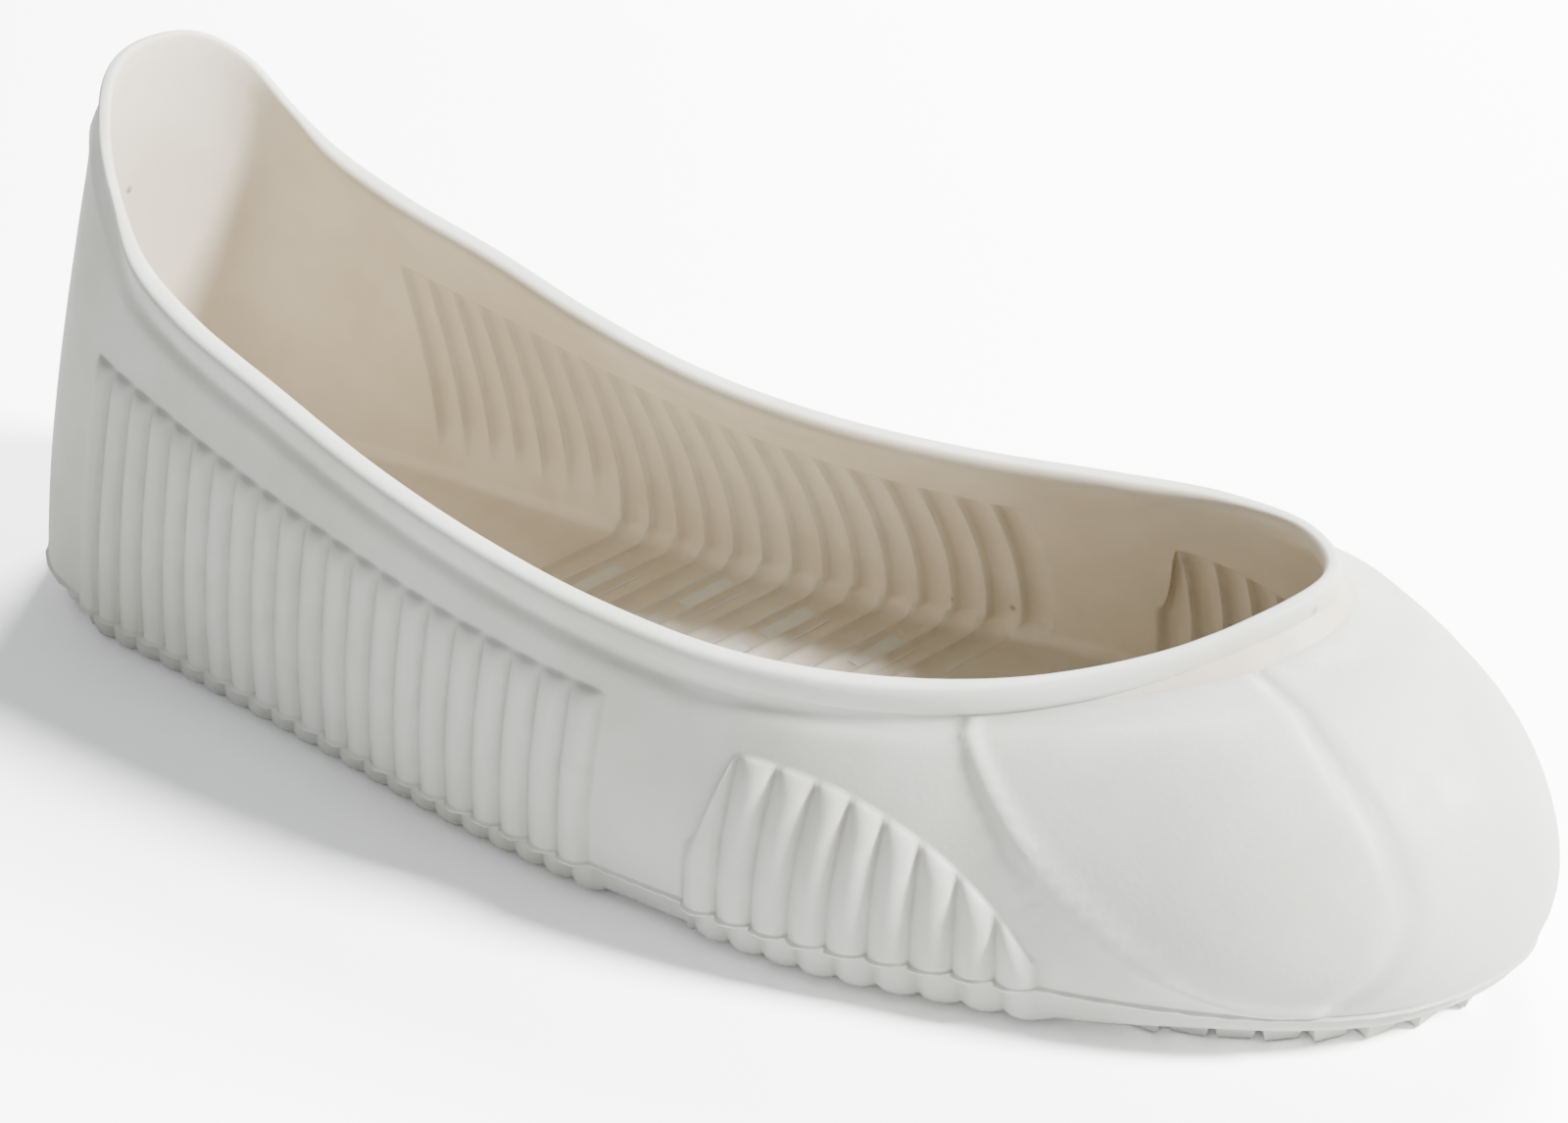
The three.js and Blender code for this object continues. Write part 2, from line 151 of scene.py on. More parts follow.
# %% Draw a smooth curve
def smooth_curve(points, closed):
    """Centripetal Catmull-Rom curve through the points."""
    points = np.asarray(points, float)
    if closed:
        ring = np.concatenate([points[-1:], points, points[:2]])
    else:
        ends = (2 * points[0] - points[1], 2 * points[-1] - points[-2])
        ring = np.concatenate([ends[:1], points, ends[1:]])
    pieces = []
    for p0, p1, p2, p3 in zip(ring, ring[1:], ring[2:], ring[3:]):
        t1 = np.linalg.norm(p1 - p0) ** 0.5
        t2 = t1 + np.linalg.norm(p2 - p1) ** 0.5
        t3 = t2 + np.linalg.norm(p3 - p2) ** 0.5
        t = np.linspace(t1, t2, STEPS_BETWEEN_SECTIONS, endpoint=False)[:, None]
        a1 = (t1 - t) / t1 * p0 + t / t1 * p1
        a2 = (t2 - t) / (t2 - t1) * p1 + (t - t1) / (t2 - t1) * p2
        a3 = (t3 - t) / (t3 - t2) * p2 + (t - t2) / (t3 - t2) * p3
        b1 = (t2 - t) / t2 * a1 + t / t2 * a2
        b2 = (t3 - t) / (t3 - t1) * a2 + (t - t1) / (t3 - t1) * a3
        pieces.append((t2 - t) / (t2 - t1) * b1 + (t - t1) / (t2 - t1) * b2)
    last = points[:1] if closed else points[-1:]
    return np.concatenate(pieces + [last])


# %% Draw both outlines
def outline(ends, sections):
    rows = [row if len(row) == 4 else (*row, PARTING_HEIGHT) for row in sections]
    lateral = [foot_point(station, side, height) for station, side, _, height in rows]
    medial = [foot_point(station, side, height) for station, _, side, height in rows]
    ring = [foot_point(*ends["heel"]), *lateral, foot_point(*ends["toe"]), *medial[::-1]]
    return smooth_curve(ring, closed=True)


foot_outline = outline(FOOT_ENDS, FOOT_SECTIONS)
mouth_outline = outline(MOUTH_ENDS, MOUTH_SECTIONS)
print("parting line", len(foot_outline), "points; mouth", len(mouth_outline), "points")

# %% [markdown]
# ## Strips round the foot
# The skin is woven from strips that start on the middle line of the sole and run out, up the
# wall, over the rim and back. Beside the foot the strips lie in the planes of the ribs, so a
# rib is simply a group of strips. Round the heel and the toe they fan out from a centre.

# %% Lay out the strips
HEEL_CENTRE = 0.0
TOE_CENTRE_SOLE = 198.0
TOE_CENTRE_MOUTH = 184.0
SQUEEZE_START = 165.0
STRIPS_PER_PITCH = 8
FAN_STRIPS = 64
PARALLEL = 1e-9             # below this a ray and an edge never meet


# %% Rays out to an outline
def reach(centres, directions, line):
    """Where the rays leave the outline, in plan, with the outline's height there."""
    a, edge = line[:-1], np.diff(line, axis=0)
    dx, dy = directions[:, None, 0], directions[:, None, 1]
    cross = dx * edge[None, :, 1] - dy * edge[None, :, 0]
    cross = np.where(np.abs(cross) < PARALLEL, np.nan, cross)
    gap = a[None] - centres[:, None]
    distance = (gap[..., 0] * edge[None, :, 1] - gap[..., 1] * edge[None, :, 0]) / cross
    part = (gap[..., 0] * dy - gap[..., 1] * dx) / cross
    good = (part > -PARALLEL) & (part < 1 + PARALLEL) & (distance > 0)
    pick = np.argmax(np.where(good, distance, -np.inf), axis=1)
    row = np.arange(len(centres))
    return a[pick] + edge[pick] * part[row, pick][:, None]


def middle(along, line):
    start = rib_point(along, along * math.tan(RIB_SKEW))
    lateral = reach(start, rib_direction(np.full(len(along), -math.pi / 2)), line)
    medial = reach(start, rib_direction(np.full(len(along), math.pi / 2)), line)
    centre = (lateral + medial) / 2
    centre[:, 2] = 0
    return centre


# %% Place every strip
side_count = round((TOE_CENTRE_SOLE - HEEL_CENTRE) / RIB_PITCH * STRIPS_PER_PITCH)
side_along = np.linspace(HEEL_CENTRE, TOE_CENTRE_SOLE, side_count + 1)
fan = math.pi * np.arange(1, FAN_STRIPS) / FAN_STRIPS
along = np.concatenate([side_along, np.full(len(fan), TOE_CENTRE_SOLE),
                        side_along[::-1], np.full(len(fan), HEEL_CENTRE)])
angle = np.concatenate([np.full(len(side_along), -math.pi / 2), fan - math.pi / 2,
                        np.full(len(side_along), math.pi / 2), fan + math.pi / 2])
on_side = np.abs(np.abs(angle) - math.pi / 2) < PARALLEL
lateral_side = angle < 0

# %% Foot and rim of every strip
squeeze = (TOE_CENTRE_MOUTH - SQUEEZE_START) / (TOE_CENTRE_SOLE - SQUEEZE_START)
squeezed = SQUEEZE_START + (along - SQUEEZE_START) * squeeze
mouth_along = np.where(along < SQUEEZE_START, along, squeezed)
centre = middle(along, foot_outline)
foot = reach(centre, rib_direction(angle), foot_outline)
rim = reach(middle(mouth_along, mouth_outline), rib_direction(angle), mouth_outline)
outward = foot - centre
outward[:, 2] = 0
outward = unit(outward)
foot_station = ORIGIN_STATION - foot[:, 1]


def toe_spring(points):
    return TOE_SPRING * smoothstep(TOE_SPRING_START, TOE_SPRING_FULL, ORIGIN_STATION - points[:, 1])


spring, centre_spring = toe_spring(foot), toe_spring(centre)
print(len(along), "strips")

# %% [markdown]
# ## Where the ribs end
# The ribs fill two fields in each wall. Their tops follow a line that sinks toward the instep
# in the rear field, and an arc that dives to the sole in the fore field. Each rib has a rounded
# shoulder at its top. A mask from 0 to 1 holds all this, so that one tree can raise the ribs.

# %% Rib fields
UP = np.array([0.0, 0.0, 1.0])
REAR_FIELD = dict(lateral=(0, 21), medial=(1, 22), top=40.0, rise=16.5, bend=1.35)
FORE_FIELD = dict(lateral=(24, 34), medial=(25, 33), top=37.3, start=147.0, length=54.0)
FIRST_FLOOR_RIB, LAST_FLOOR_RIB = 8, 21
RIB_SHOULDER = 4.5
LOWEST_RIB_TOP = 14.0
FIRST_FORE_RIB_HEIGHT = 0.55    # share of the arc that the first fore rib reaches
BETWEEN_FIELDS = (22.2, 23.8)   # pitches over which one field gives way to the other


def rib_top(along, lateral):
    pitch = along / RIB_PITCH
    rear_last = np.where(lateral, REAR_FIELD["lateral"][1], REAR_FIELD["medial"][1])
    part = np.clip(1 - pitch / rear_last, 0, 1)
    rear = REAR_FIELD["top"] + REAR_FIELD["rise"] * part ** REAR_FIELD["bend"]
    part = np.clip((along - FORE_FIELD["start"]) / FORE_FIELD["length"], 0, 1)
    fore = FORE_FIELD["top"] * np.sqrt(1 - part * part)
    first = np.where(lateral, FORE_FIELD["lateral"][0], FORE_FIELD["medial"][0])
    fore = fore * mix(FIRST_FORE_RIB_HEIGHT, 1.0, smoothstep(first + 0.1, first + 1.0, pitch))
    fore = np.maximum(fore, LOWEST_RIB_TOP)
    return mix(rear, fore, smoothstep(*BETWEEN_FIELDS, pitch))


def in_field(along, lateral):
    pitch = along / RIB_PITCH
    rear = np.where(lateral, pitch <= REAR_FIELD["lateral"][1], pitch >= REAR_FIELD["medial"][0])
    rear &= pitch <= REAR_FIELD["medial"][1]
    first = np.where(lateral, FORE_FIELD["lateral"][0], FORE_FIELD["medial"][0])
    last = np.where(lateral, FORE_FIELD["lateral"][1], FORE_FIELD["medial"][1])
    return rear | ((pitch >= first) & (pitch <= last))


# %% Ribbed strips
strip_rib_top = rib_top(along, lateral_side)
strip_mask = (in_field(along, lateral_side) & on_side).astype(float)
floor_pitch = along / RIB_PITCH
on_floor = (floor_pitch >= FIRST_FLOOR_RIB) & (floor_pitch <= LAST_FLOOR_RIB)
floor_mask = (on_side & on_floor).astype(float)
print("ribbed strips", int(strip_mask.sum()))

# %% [markdown]
# ## The wall
# Between the parting line and the rim each strip is one Bezier curve. Along the sides it leans
# in gently. At the toe it swells out first and then closes over the toes, and that is what
# makes the toe cap. The rows follow the rib tops, so each shoulder has enough rows.

# %% Wall rows and their normals
BEAD_HEIGHT, BEAD_BULGE = 5.0, 1.7
UNDER_BEAD = 1.0
FLASH_HEIGHT = 0.7          # the flash takes up this much over the parting line
RIB_ROWS, SHOULDER_ROWS, PLAIN_ROWS = 15, 12, 16

CURVE_STEPS = 200
LEAST_PLAIN = 4.0           # least height of plain wall over a rib
SIDE_WALL = dict(swell=0.5, low_height=0.35, high_lean=0.5, high_height=0.7)
TOE_WALL = dict(swell=9.0, low_height=0.42, high_lean=0.3, high_height=0.8)
TOE_WALL_STATIONS = (175, 245)
HEEL_WALL = dict(low_lean=0.2, high_lean=0.12)
HEEL_WALL_STATIONS = (-15, 45)

toe_share = smoothstep(*TOE_WALL_STATIONS, foot_station)[:, None]
heel_share = 1 - smoothstep(*HEEL_WALL_STATIONS, foot_station)[:, None]
climb = (rim[:, 2:] - foot[:, 2:])
inward = rim - foot
inward[:, 2] = 0
wall_size = {key: mix(SIDE_WALL[key], TOE_WALL[key], toe_share) for key in SIDE_WALL}
low = (foot + outward * wall_size["swell"] + inward * HEEL_WALL["low_lean"] * heel_share
       + UP * climb * wall_size["low_height"])
high = (foot + inward * (wall_size["high_lean"] + HEEL_WALL["high_lean"] * heel_share)
        + UP * climb * wall_size["high_height"])
print("the wall climbs", round(float(climb.min())), "to", round(float(climb.max())), "mm")


# %% Rows up the wall
def wall_at(heights):
    """Points of every strip's curve at its own row of heights."""
    t = np.linspace(0, 1, CURVE_STEPS)[None, :, None]
    curve = ((1 - t) ** 3 * foot[:, None] + 3 * (1 - t) ** 2 * t * low[:, None]
             + 3 * (1 - t) * t ** 2 * high[:, None] + t ** 3 * rim[:, None])
    out = np.empty(heights.shape + (3,))
    for i, (points, wanted) in enumerate(zip(curve, heights)):
        for axis in range(3):
            out[i, :, axis] = np.interp(wanted, points[:, 2], points[:, axis])
    return out


wall_top = rim[:, 2] - BEAD_HEIGHT - UNDER_BEAD
ribs_end = np.minimum(strip_rib_top, wall_top - LEAST_PLAIN)
wall_start = PARTING_HEIGHT + FLASH_HEIGHT
first_height = np.full(len(along), wall_start)
heights = np.concatenate([
    np.linspace(first_height, ribs_end - RIB_SHOULDER, RIB_ROWS, endpoint=False),
    np.linspace(ribs_end - RIB_SHOULDER, ribs_end + 1, SHOULDER_ROWS, endpoint=False),
    np.linspace(ribs_end + 1, wall_top, PLAIN_ROWS),
]).T
wall = wall_at(heights)
round_foot = np.roll(wall, -1, 0) - np.roll(wall, 1, 0)
up_wall = np.gradient(wall, axis=1)
normal = unit(np.cross(round_foot, up_wall))
shoulder = np.clip((ribs_end[:, None] - heights) / RIB_SHOULDER, 0, 1)
wall_mask = strip_mask[:, None] * np.sqrt(1 - (1 - shoulder) ** 2)
print("wall rows", wall.shape[1])

# %% [markdown]
# ## Lines on the toe cap
# A shallow leaf is drawn on each side of the toe cap: a low ridge sweeps from under the rim
# down to the parting line, and a faint channel closes the leaf in front. Both are small
# bumps on the skin, measured by the distance to a curve through a few points.

# %% Toe ridge, toe channel and the pad behind the tab
TOE_RIDGE = [  # station, offset, height
    (173, -33, 45), (180, -37.5, 38), (190, -40, 28.5), (202, -39.5, 20), (213, -37, 14),
    (224, -31, 11), (232, -25.5, 11),
]
TOE_CHANNEL = [
    (206, -1, 51), (213, -6, 49), (220, -10, 45), (231, -13.5, 37), (237.5, -15.5, 29), (239, -19, 20),
    (233, -25, 11),
]
TOE_MIDDLE = 8.0            # offset that the medial lines are mirrored about
RIDGE_RISE, RIDGE_HALF_WIDTH = 0.9, 1.3
CHANNEL_DEPTH, CHANNEL_HALF_WIDTH = 0.75, 1.2
MEDIAL_RIDGE_FADE = (190.0, 204.0)   # there the medial ribs stand in its way
LINE_REACH = 8.0            # the curves lie this near to the skin
TAB_PAD = dict(place=(-27.0, -4.0, 88.0), size=(9.0, 9.0, 5.0), rise=1.5)


# %% Distance to a line on the skin
def nearest(line):
    """Distance from each wall point to the line, leaving out the depth along the normal."""
    out = np.full(wall.shape[:2], np.inf)
    for spot in line:
        gap = wall - spot
        depth = (gap * normal).sum(-1)
        across = np.sqrt(np.maximum((gap ** 2).sum(-1) - depth ** 2, 0))
        out = np.where(np.abs(depth) < LINE_REACH, np.minimum(out, across), out)
    return out


def toe_line(rows, mirrored):
    points = [foot_point(s, 2 * TOE_MIDDLE - o if mirrored else o, h) for s, o, h in rows]
    return smooth_curve(points, closed=False)


# %% Raise and sink the lines
relief = np.zeros(wall.shape[:2])
for mirrored in (False, True):
    ridge = nearest(toe_line(TOE_RIDGE, mirrored))
    channel = nearest(toe_line(TOE_CHANNEL, mirrored))
    clear = smoothstep(*MEDIAL_RIDGE_FADE, ORIGIN_STATION - wall[..., 1]) if mirrored else 1.0
    relief += RIDGE_RISE * clear * np.exp(-(ridge / RIDGE_HALF_WIDTH) ** 2)
    relief -= CHANNEL_DEPTH * np.exp(-(channel / CHANNEL_HALF_WIDTH) ** 2)
pad = ((wall - foot_point(*TAB_PAD["place"])) / np.array(TAB_PAD["size"])) ** 2
relief += TAB_PAD["rise"] * np.exp(-pad.sum(-1) ** 2)
outer_wall = wall + normal * relief[..., None]
print("relief from", round(relief.min(), 2), "to", round(relief.max(), 2), "mm")

# %% [markdown]
# ## Sole band, flash and lip
# Under the parting line the lower mould half took over. Its walls stand back by a millimetre or
# two, and where the halves met, a hair of rubber crept out: the flash. Below it the band turns
# under the foot in a rounded lip, whose ribs come down almost to the ground.

# %% Sole rows
BAND_INSET_REAR, BAND_INSET_FORE = 2.0, 0.9
BAND_STATIONS = (120, 175)
BAND_HEIGHTS = (4.6, 5.6, 6.6, 7.4)
LIP_TURNS = [  # how far inside the band, height over the lip, share of the rib's push
    (0.7, 0.2, 0.45),
    (0.2, 0.8, 0.75),
    (0.0, 1.7, 1.0),
]
LIP_TUCK, LIP_EDGE = 4.0, 1.6   # insets of the two points where the lip turns under
FLASH_STEPS = dict(below=0.65, low=0.35, high=0.05, above=0.3)
RIPPLE = dict(depth=0.25, quick=1.9, slow=0.53)
FLASH = 0.7
SOLE_ROWS = 9
LOWER_HALF_SHIFT = 0.9      # the lower mould half sat this far out of line

band_inset = mix(BAND_INSET_REAR, BAND_INSET_FORE, smoothstep(*BAND_STATIONS, foot_station))
lip_height = SOLE_LIP + SOLE_LIP_RISE + spring


def under(inset, height):
    points = foot - outward * np.broadcast_to(inset, len(foot))[:, None]
    points[:, 2] = height
    return points


waves = np.sin(foot_station * RIPPLE["quick"]) * np.sin(foot_station * RIPPLE["slow"] + 1.0)
ripple = 1 - RIPPLE["depth"] + RIPPLE["depth"] * waves
sole_edge = under(SOLE_EDGE_INSET, SOLE_UNDERSIDE + spring)
sole_middle = centre + UP * (SOLE_UNDERSIDE + centre_spring)[:, None]
rows, pushes, masks, shifts = [], [], [], []


def add_row(points, push, mask, shift=0.0):
    rows.append(points)
    pushes.append(np.broadcast_to(push, points.shape))
    masks.append(np.broadcast_to(mask, len(points)))
    shifts.append(np.full(len(points), shift))


# %% Rows under the foot, over the lip and up the band
still = np.zeros(3)
drop = SOLE_LIP_RISE / RIB_RISE
for i in range(SOLE_ROWS):
    share = i / SOLE_ROWS
    add_row(mix(sole_middle, sole_edge, share), still, 0.0)
add_row(sole_edge, still, 0.0)
tuck = under(SOLE_LIP_INSET + LIP_TUCK, SOLE_UNDERSIDE - 0.1 + spring)
add_row(tuck, -UP * drop * 0.5, strip_mask)
add_row(under(SOLE_LIP_INSET + LIP_EDGE, lip_height), -UP * drop, strip_mask, LOWER_HALF_SHIFT)
for inset, height, turn in LIP_TURNS:
    push = outward * turn - UP * drop * (1 - turn) ** 0.5
    add_row(under(band_inset + inset, lip_height + height), push, strip_mask, LOWER_HALF_SHIFT)
for height in BAND_HEIGHTS:
    add_row(under(band_inset, np.maximum(height, lip_height + 2.0 + height * 0.05)),
            outward, strip_mask, LOWER_HALF_SHIFT)
band_top = under(band_inset * 0.8, PARTING_HEIGHT - FLASH_STEPS["below"])
add_row(band_top, outward, strip_mask, LOWER_HALF_SHIFT * 0.5)
add_row(under(-FLASH * ripple, PARTING_HEIGHT - FLASH_STEPS["low"]), outward, strip_mask)
add_row(under(-FLASH * ripple, PARTING_HEIGHT + FLASH_STEPS["high"]), outward, strip_mask)
add_row(under(0.0, PARTING_HEIGHT + FLASH_STEPS["above"]), outward, strip_mask)
print("rows under the wall", len(rows))

# %% [markdown]
# ## Rim, inside and floor
# The wall ends in a bead that stiffens the mouth and lets a finger pull on it. It is flush with
# the wall inside and stands out of it outside, over a narrow groove. It thins into the tab at
# the heel and runs out into the toe cap. The inside is the same wall moved in by its thickness,
# and a rounded corner joins it to the floor.

# %% Remaining rows
BEAD_ROWS = 24
BEAD_CORNER = 0.62          # 1 would be an ellipse, less is squarer
GROOVE_DEPTH = 1.1
TAB_START_HEIGHT, TAB_FULL_HEIGHT = 70.0, 84.0
TAB_EDGE_HEIGHT, TAB_WALL = 3.0, 2.2
THROAT_START, THROAT_FULL = 165.0, 205.0
FLOOR_ROWS = 12
CORNER_ROWS = 5
BEAD_START, BEAD_END = -62, 180     # degrees round the bead
GROOVE_WIDTH = 1.6
FLAT_INSIDE = 40.0          # the wall starts to thin toward the tab over this height
HEEL_CHANNELS = (11, 20)    # the heel's inside channels die out between these heights
ROLLED_ROWS_INSIDE = 7      # last rows of the bead that show on the inside

thin = smoothstep(TAB_START_HEIGHT, TAB_FULL_HEIGHT, rim[:, 2])
throat = smoothstep(THROAT_START, THROAT_FULL, ORIGIN_STATION - rim[:, 1])
bulge = (BEAD_BULGE * (1 - thin) * (1 - throat))[:, None]
rim_wall = mix(WALL, TAB_WALL, thin)[:, None]
out_flat = unit(normal[:, -1] * np.array([1, 1, 0]))
groove = GROOVE_DEPTH * bulge[:, 0] / BEAD_BULGE
near_top = np.exp(-((wall_top[:, None] - heights) / GROOVE_WIDTH) ** 2)
outer_wall = outer_wall - normal * (groove[:, None] * near_top)[..., None]
for j in range(wall.shape[1]):
    add_row(outer_wall[:, j], normal[:, j], wall_mask[:, j])
half_height = mix(BEAD_HEIGHT, TAB_EDGE_HEIGHT, thin)[:, None] / 2
half_width = (rim_wall + bulge) / 2
bead_centre = rim + out_flat * (bulge - half_width) - UP * half_height
for turn in np.radians(np.linspace(BEAD_START, BEAD_END, BEAD_ROWS)):
    side, top = math.cos(turn), math.sin(turn)
    side = math.copysign(abs(side) ** BEAD_CORNER, side)
    top = math.copysign(abs(top) ** BEAD_CORNER, top)
    add_row(bead_centre + out_flat * half_width * side + UP * half_height * top, still, 0.0)

# %% Inside of the wall and floor
first_inside_row = len(rows) - ROLLED_ROWS_INSIDE
room_above = np.maximum(wall_top[:, None] - FLAT_INSIDE, 1)
wall_share = smoothstep(0, 1, (heights - FLAT_INSIDE) / room_above)
thickness = mix(WALL, rim_wall, wall_share)
inner = wall - normal * thickness[..., None]
for j in reversed(range(wall.shape[1])):
    fade = np.where(floor_pitch < FIRST_FLOOR_RIB, smoothstep(*HEEL_CHANNELS, heights[:, j]), 1.0)
    add_row(inner[:, j], normal[:, j], wall_mask[:, j] * fade)
for i in range(1, CORNER_ROWS + 1):
    turn = i / CORNER_ROWS * math.pi / 2
    inset = WALL + FLOOR_CORNER * (1 - math.cos(turn))
    height = FLOOR + (wall_start - FLOOR) * (1 - math.sin(turn))
    push = outward * math.cos(turn) - UP * math.sin(turn) / RIB_RISE
    add_row(under(inset, height + spring * math.sin(turn)), push, floor_mask)
floor_middle = centre + UP * (FLOOR + centre_spring)[:, None]
floor_edge = rows[-1]
for i in range(1, FLOOR_ROWS + 1):
    add_row(mix(floor_edge, floor_middle, i / FLOOR_ROWS), -UP / RIB_RISE, floor_mask)
print("rows in all", len(rows))

# %% [markdown]
# ## Weave the skin
# Rows and strips make a grid of four-sided faces. Strips share their points on the middle line
# of sole and floor, so doubles are merged there first, and the skin closes without a seam.
# Each point also carries what later steps ask for: how far along the row of ribs it lies,
# how much rib it may have and which way the rib pushes it, and whether it faces into the shoe.

# %% Mesh with attributes
grid = np.stack(rows, 1)
strips, count = grid.shape[:2]
points = grid.reshape(-1, 3)
inside = np.zeros((strips, count))
inside[:, first_inside_row:] = 1.0
values = {
    "rib_along": (along[:, None] - np.stack(shifts, 1)).ravel() * MM,
    "rib_mask": np.stack(masks, 1).ravel(),
    "inside": inside.ravel(),
}
push = np.stack(pushes, 1).reshape(-1, 3)
_, keep, merged = np.unique(np.round(points, 4), axis=0, return_index=True, return_inverse=True)
merged = merged.ravel()
i, j = np.meshgrid(np.arange(strips), np.arange(count - 1), indexing="ij")
corner = lambda a, b: merged[(a % strips) * count + b]
quads = np.stack([corner(i, j), corner(i + 1, j), corner(i + 1, j + 1), corner(i, j + 1)], -1)
faces = []
for quad in quads.reshape(-1, 4).tolist():
    face = list(dict.fromkeys(quad))
    if len(face) > 2:
        faces.append(face)


def new_object(name, mesh):
    made = bpy.data.objects.new(name, mesh)
    bpy.context.scene.collection.objects.link(made)
    return made


mesh = bpy.data.meshes.new("plain_skin")
mesh.from_pydata((points[keep] * MM).tolist(), [], faces)
mesh.validate()
for name, data in values.items():
    mesh.attributes.new(name, "FLOAT", "POINT").data.foreach_set("value", data[keep].astype(np.float32))
mesh.attributes.new("rib_push", "FLOAT_VECTOR", "POINT").data.foreach_set(
    "vector", push[keep].astype(np.float32).ravel())
skin = new_object("overshoe_skin", mesh)
print("skin:", len(mesh.vertices), "points,", len(mesh.polygons), "faces")

# %% [markdown]
# ## Raise the ribs
# Every rib follows the same rule, a rounded ridge at each pitch with a sharp valley between, so
# it is a job for Geometry Nodes. The tree moves each point along its own push direction by
# the height of the ridge there. Pitch, rise and sharpness stay open as named inputs.

# %% Geometry Nodes: ribs
class Tree:
    """A small helper that places nodes and joins them in one call."""

    def __init__(self, tree):
        self.tree = tree

    def node(self, kind, inputs=None, **settings):
        made = self.tree.nodes.new(kind)
        for key, value in settings.items():
            setattr(made, key, value)
        for key, value in (inputs or {}).items():
            if isinstance(value, bpy.types.NodeSocket):
                self.tree.links.new(value, made.inputs[key])
            else:
                made.inputs[key].default_value = value
        return made

    def math(self, operation, a, b=0.0, kind="ShaderNodeMath"):
        return self.node(kind, {0: a, 1: b}, operation=operation).outputs[0]


# %% Helpers for geometry trees
def geometry_tree(name, inputs):
    tree = bpy.data.node_groups.new(name, "GeometryNodeTree")
    tree.interface.new_socket("Geometry", in_out="INPUT", socket_type="NodeSocketGeometry")
    tree.interface.new_socket("Geometry", in_out="OUTPUT", socket_type="NodeSocketGeometry")
    for label, kind in inputs.items():
        tree.interface.new_socket(label, in_out="INPUT", socket_type=kind)
    return tree


def run_tree(piece, tree, settings):
    """Evaluate the tree on the piece, and keep the result as its plain mesh."""
    modifier = piece.modifiers.new(tree.name, "NODES")
    modifier.node_group = tree
    for item in tree.interface.items_tree:
        if item.in_out == "INPUT" and item.name in settings:
            modifier[item.identifier] = settings[item.name]
    evaluated = piece.evaluated_get(bpy.context.evaluated_depsgraph_get())
    result = bpy.data.meshes.new_from_object(evaluated, preserve_all_data_layers=True,
                                             depsgraph=bpy.context.evaluated_depsgraph_get())
    piece.modifiers.remove(modifier)
    piece.data = result
    return piece


# %% Build the rib tree and run it
RIB_SHARPNESS = 0.6         # 1 is a plain wave, less is a rounder ridge and a sharper valley

rubber = bpy.data.materials.new("moulded_rubber")
rib_tree = geometry_tree("ribs", {
    "Pitch": "NodeSocketFloat",
    "Rise": "NodeSocketFloat",
    "Sharpness": "NodeSocketFloat",
    "Material": "NodeSocketMaterial",
})
t = Tree(rib_tree)
given = t.node("NodeGroupInput").outputs


def read(name, kind="FLOAT"):
    return t.node("GeometryNodeInputNamedAttribute", {"Name": name}, data_type=kind).outputs["Attribute"]


turn = t.math("MULTIPLY", t.math("DIVIDE", read("rib_along"), given["Pitch"]), math.pi)
ridge = t.math("POWER", t.math("ABSOLUTE", t.math("SINE", turn)), given["Sharpness"])
amount = t.math("MULTIPLY", t.math("MULTIPLY", ridge, read("rib_mask")), given["Rise"])
offset = t.node("ShaderNodeVectorMath", {0: read("rib_push", "FLOAT_VECTOR"), "Scale": amount},
                operation="SCALE").outputs[0]
moved = t.node("GeometryNodeSetPosition", {"Geometry": given["Geometry"], "Offset": offset})
# rib_height is kept for the material, which paints shade into the rib valleys from it
shade = t.node("GeometryNodeStoreNamedAttribute", {
    "Geometry": moved.outputs[0], "Name": "rib_height",
    "Value": t.math("MULTIPLY", ridge, read("rib_mask"))}, data_type="FLOAT", domain="POINT")
real = t.node("GeometryNodeRealizeInstances", {"Geometry": shade.outputs[0]})
painted = t.node("GeometryNodeSetMaterial", {"Geometry": real.outputs[0], "Material": given["Material"]})
t.node("NodeGroupOutput", {"Geometry": painted.outputs[0]})
run_tree(skin, rib_tree, {"Pitch": RIB_PITCH * MM, "Rise": RIB_RISE * MM, "Sharpness": RIB_SHARPNESS,
                          "Material": rubber})
print("ribbed skin:", len(skin.data.polygons), "faces")

# %% [markdown]
# ## The tread
# The tread is rows of small lugs, tapered so that they leave the mould. One lug is modelled,
# and a second tree sets a copy on every point of a scatter of places under the sole. The rows
# follow the slant of the ribs, a set margin in from the edge, and smaller lugs ring the toe.

# %% Geometry Nodes: lugs
LUG = dict(length=10.0, width=12.0, taper=1.4, row_pitch=18.0, pitch=17.0, margin=11.0)
LUG_ROOT = 5.2
LUG_SOFT_EDGE = 0.5
LAST_LUG_ROW = 11
TOE_LUGS = [  # inset from the edge, number, widest spoke in degrees, scale
    (6.8, 13, 72, 0.6),
    (24.0, 3, 34, 0.85),
]


def row_lugs():
    places = []
    for row in range(-1, LAST_LUG_ROW + 1):
        row_along = np.array([row * LUG["row_pitch"] + RIB_PITCH / 2])
        line = rib_point(row_along, row_along * math.tan(RIB_SKEW))
        axis = rib_direction(np.array([math.pi / 2]))[0]
        lateral = reach(line, -axis[None], foot_outline)[0] + axis * LUG["margin"]
        medial = reach(line, axis[None], foot_outline)[0] - axis * LUG["margin"]
        number = int(np.linalg.norm((medial - lateral)[:2]) // LUG["pitch"]) + 1
        for k in range(number):
            places.append((lateral + medial) / 2 + axis * (k - (number - 1) / 2) * LUG["pitch"])
    return np.array(places)


